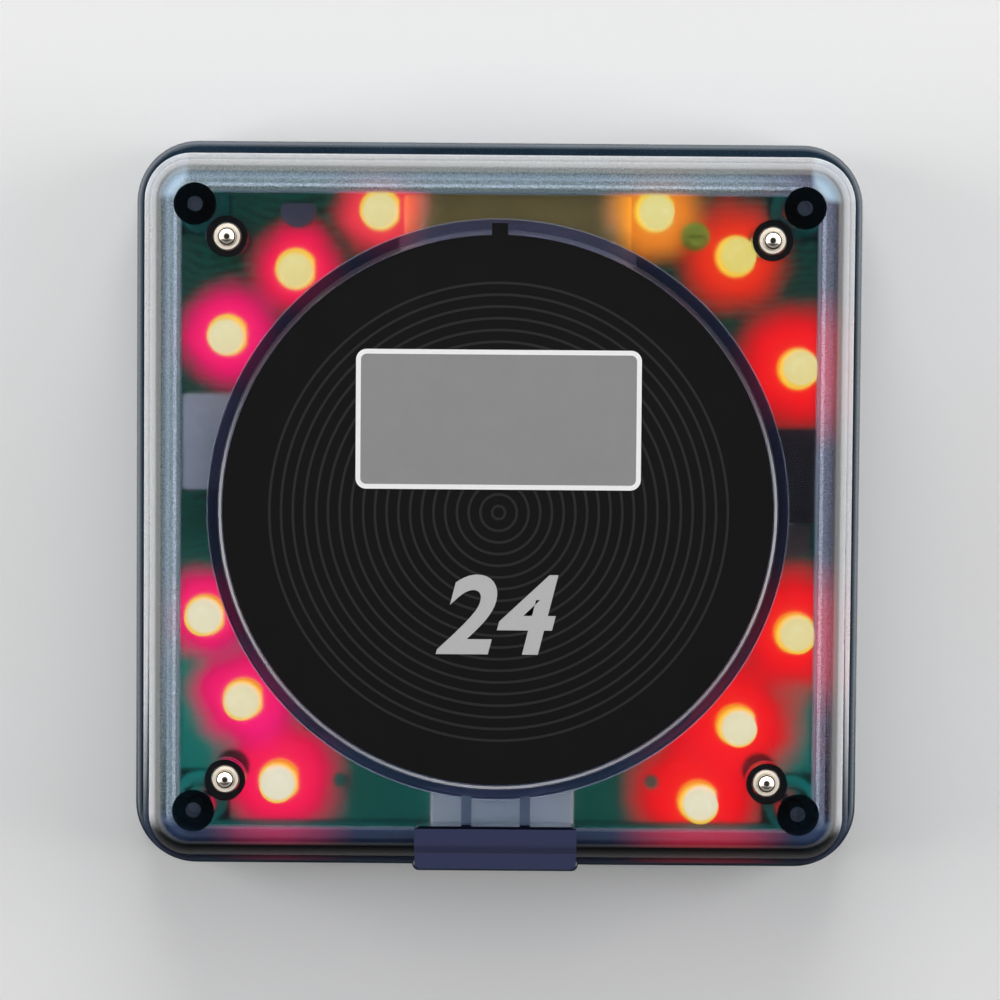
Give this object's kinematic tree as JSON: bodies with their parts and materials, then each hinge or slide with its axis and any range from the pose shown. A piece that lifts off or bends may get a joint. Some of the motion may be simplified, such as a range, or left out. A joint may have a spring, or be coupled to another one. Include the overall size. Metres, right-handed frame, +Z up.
{
  "type": "guest pager",
  "caption": "Square stacking table-side guest pager: smoke cover over signal lamps, round face label with number patch, sprung charging contacts, vibration motor and battery pack inside.",
  "frame": {"origin": "bottom centre of the whole pager's box, on the surface it rests on", "axes": "+Z up through the face; +Y towards the battery end, away from the key lug; +X to the right seen from above"},
  "size_m": [0.1016, 0.1024, 0.0234],
  "materials": {
    "antenna_wire": "enamelled copper wire",
    "base_plastic": "satin moulded dark blue-grey plastic",
    "board_laminate": "green solder mask on glass-epoxy laminate",
    "boot_rubber": "matt black rubber",
    "can_tin": "satin tinplate",
    "cap_sleeve": "dark blue sleeve",
    "cell_wrap": "nickel-plated steel can",
    "chip_black": "matt black moulding compound",
    "contact_plate": "bright nickel plate on brass",
    "foam_pad": "black foam",
    "label_print": "satin black printed film with fine grey rings",
    "lamp_resin": "clear red-pink tinted epoxy, high gloss",
    "lead_dark": "dark wire insulation",
    "lead_red": "red wire insulation",
    "lead_tin": "tinned wire",
    "motor_steel": "satin steel",
    "natural_nylon": "natural off-white nylon",
    "nickel_strip": "nickel strip",
    "patch_film": "matt grey write-on film with a white border",
    "plunger_plate": "bright nickel plate on brass",
    "screw_steel": "zinc-plated steel",
    "seal_rubber": "matt black rubber",
    "smoke_plastic": "clear dark blue-violet smoke polycarbonate, high gloss",
    "spring_steel": "bright spring wire",
    "trimmer_body": "amber plastic",
    "weight_metal": "sintered tungsten alloy",
    "wrap_film": "satin olive-tan shrink film"
  },
  "bodies": {
    "pager": {"antenna_loop": "antenna_wire", "base_shell": "base_plastic", "battery_cell_1": "cell_wrap", "battery_cell_2": "cell_wrap", "battery_cell_3": "cell_wrap", "battery_leads": "lead_red", "battery_pad": "foam_pad", "battery_tabs": "nickel_strip", "battery_wrap": "wrap_film", "board_header": "natural_nylon", "buzzer": "chip_black", "capacitors": "cap_sleeve", "case_screws": "screw_steel", "chip_resistors": "chip_black", "circuit_board": "board_laminate", "contact_seals": "seal_rubber", "contact_sleeve_1": "contact_plate", "contact_sleeve_2": "contact_plate", "contact_sleeve_3": "contact_plate", "contact_sleeve_4": "contact_plate", "contact_spring_1": "spring_steel", "contact_spring_2": "spring_steel", "contact_spring_3": "spring_steel", "contact_spring_4": "spring_steel", "driver_transistor": "chip_black", "face_label": "label_print", "lead_plug": "natural_nylon", "led_01": "lamp_resin", "led_02": "lamp_resin", "led_03": "lamp_resin", "led_04": "lamp_resin", "led_05": "lamp_resin", "led_06": "lamp_resin", "led_07": "lamp_resin", "led_08": "lamp_resin", "led_09": "lamp_resin", "led_10": "lamp_resin", "led_11": "lamp_resin", "led_12": "lamp_resin", "led_leads": "lead_tin", "microcontroller": "chip_black", "microcontroller_pins": "lead_tin", "motor_boot": "boot_rubber", "motor_leads": "lead_dark", "number_patch": "patch_film", "quartz_crystal": "can_tin", "rim_seal": "seal_rubber", "shield_can": "can_tin", "stack_contacts": "contact_plate", "top_cover": "smoke_plastic", "trimmer_capacitor": "trimmer_body", "vibration_motor": "motor_steel"},
    "contact_1": {"contact_plunger_1": "plunger_plate"},
    "contact_2": {"contact_plunger_2": "plunger_plate"},
    "contact_3": {"contact_plunger_3": "plunger_plate"},
    "contact_4": {"contact_plunger_4": "plunger_plate"},
    "motor_rotor": {"motor_shaft": "motor_steel", "motor_weight": "weight_metal"}
  },
  "joints": [
    {"name": "contact_1_press", "type": "slide", "parent": "pager", "child": "contact_1", "axis": [0, 0, -1], "range_m": [0, 0.0009], "stiffness_N_per_m": 180, "springref_m": -0.002, "deforming": ["contact_spring_1"]},
    {"name": "contact_2_press", "type": "slide", "parent": "pager", "child": "contact_2", "axis": [0, 0, -1], "range_m": [0, 0.0009], "stiffness_N_per_m": 180, "springref_m": -0.002, "deforming": ["contact_spring_2"]},
    {"name": "contact_3_press", "type": "slide", "parent": "pager", "child": "contact_3", "axis": [0, 0, -1], "range_m": [0, 0.0009], "stiffness_N_per_m": 180, "springref_m": -0.002, "deforming": ["contact_spring_3"]},
    {"name": "contact_4_press", "type": "slide", "parent": "pager", "child": "contact_4", "axis": [0, 0, -1], "range_m": [0, 0.0009], "stiffness_N_per_m": 180, "springref_m": -0.002, "deforming": ["contact_spring_4"]},
    {"name": "motor_spin", "type": "hinge", "parent": "pager", "child": "motor_rotor", "pos_m": [0.0408, -0.00125, 0.0116], "axis": [0, 1, 0], "continuous": true}
  ]
}
